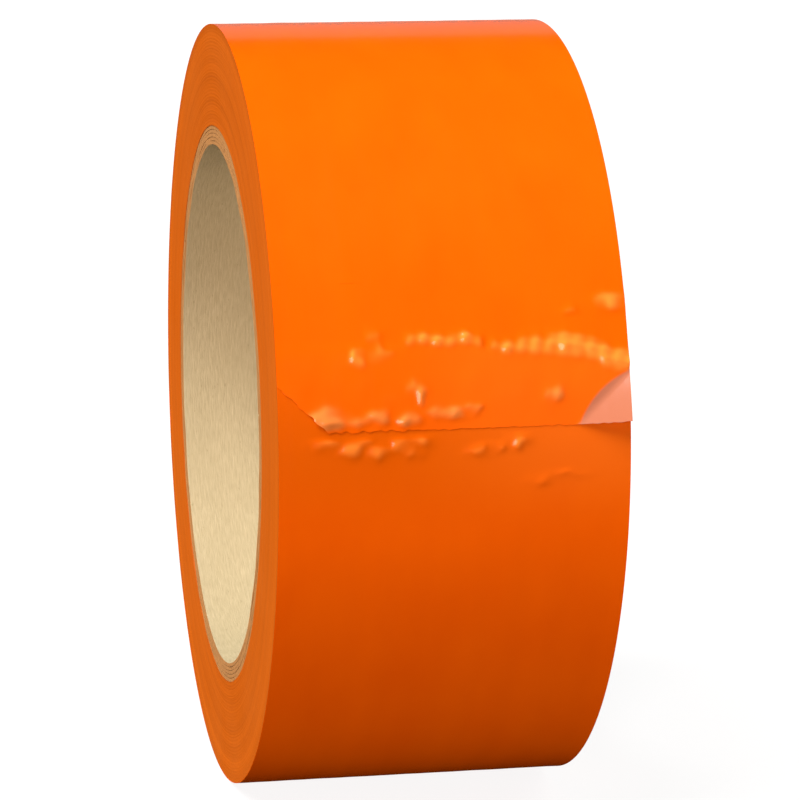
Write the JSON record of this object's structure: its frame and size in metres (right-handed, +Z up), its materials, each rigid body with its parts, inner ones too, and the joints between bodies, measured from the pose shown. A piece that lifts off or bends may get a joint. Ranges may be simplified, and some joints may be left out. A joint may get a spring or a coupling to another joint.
{
  "type": "packing tape roll",
  "caption": "Roll of orange adhesive packing tape on a cream paperboard core, standing on its edge, with its free end and one corner lifted.",
  "frame": {"origin": "middle of the core's bore, halfway across the tape's width", "axes": "+Y along the roll's axis, +Z up with the roll standing on its edge, +X towards the side that the free end hangs on, pointing down"},
  "size_m": [0.1129, 0.048, 0.1109],
  "materials": {
    "core_liner": "matte",
    "core_board": "matte",
    "film": "gloss",
    "film_back": "satin"
  },
  "bodies": {
    "roll": {"core_liner_ply": "core_liner", "core_body_ply_1": "core_board", "core_body_ply_2": "core_board", "core_body_ply_3": "core_board", "core_outer_ply": "core_board", "wound_tape": "film"},
    "peeling": {"peeling_band": "film"},
    "bending": {"bending_band": "film"},
    "flap": {"free_end": "film"},
    "corner": {"lifted_corner": "film_back"}
  },
  "joints": [
    {"name": "peel_lift", "type": "hinge", "parent": "roll", "child": "peeling", "pos_m": [0.0525, 0, 0.01782], "axis": [0, -1, 0], "range_deg": [0, 40]},
    {"name": "bend_lift", "type": "hinge", "parent": "peeling", "child": "bending", "pos_m": [0.05308, 0, 0.0161], "axis": [0, -1, 0], "range_deg": [0, 40]},
    {"name": "flap_lift", "type": "hinge", "parent": "bending", "child": "flap", "pos_m": [0.05355, 0, 0.01435], "axis": [0, -1, 0], "range_deg": [0, 40]},
    {"name": "corner_curl", "type": "hinge", "parent": "flap", "child": "corner", "pos_m": [0.0547, 0.02037, 0.00903], "axis": [0.1152, -0.707, -0.6978], "range_deg": [-24, 90]}
  ],
  "couplings": [
    {"joint": "bend_lift", "follows": "peel_lift", "ratio": 1},
    {"joint": "flap_lift", "follows": "peel_lift", "ratio": 1}
  ]
}
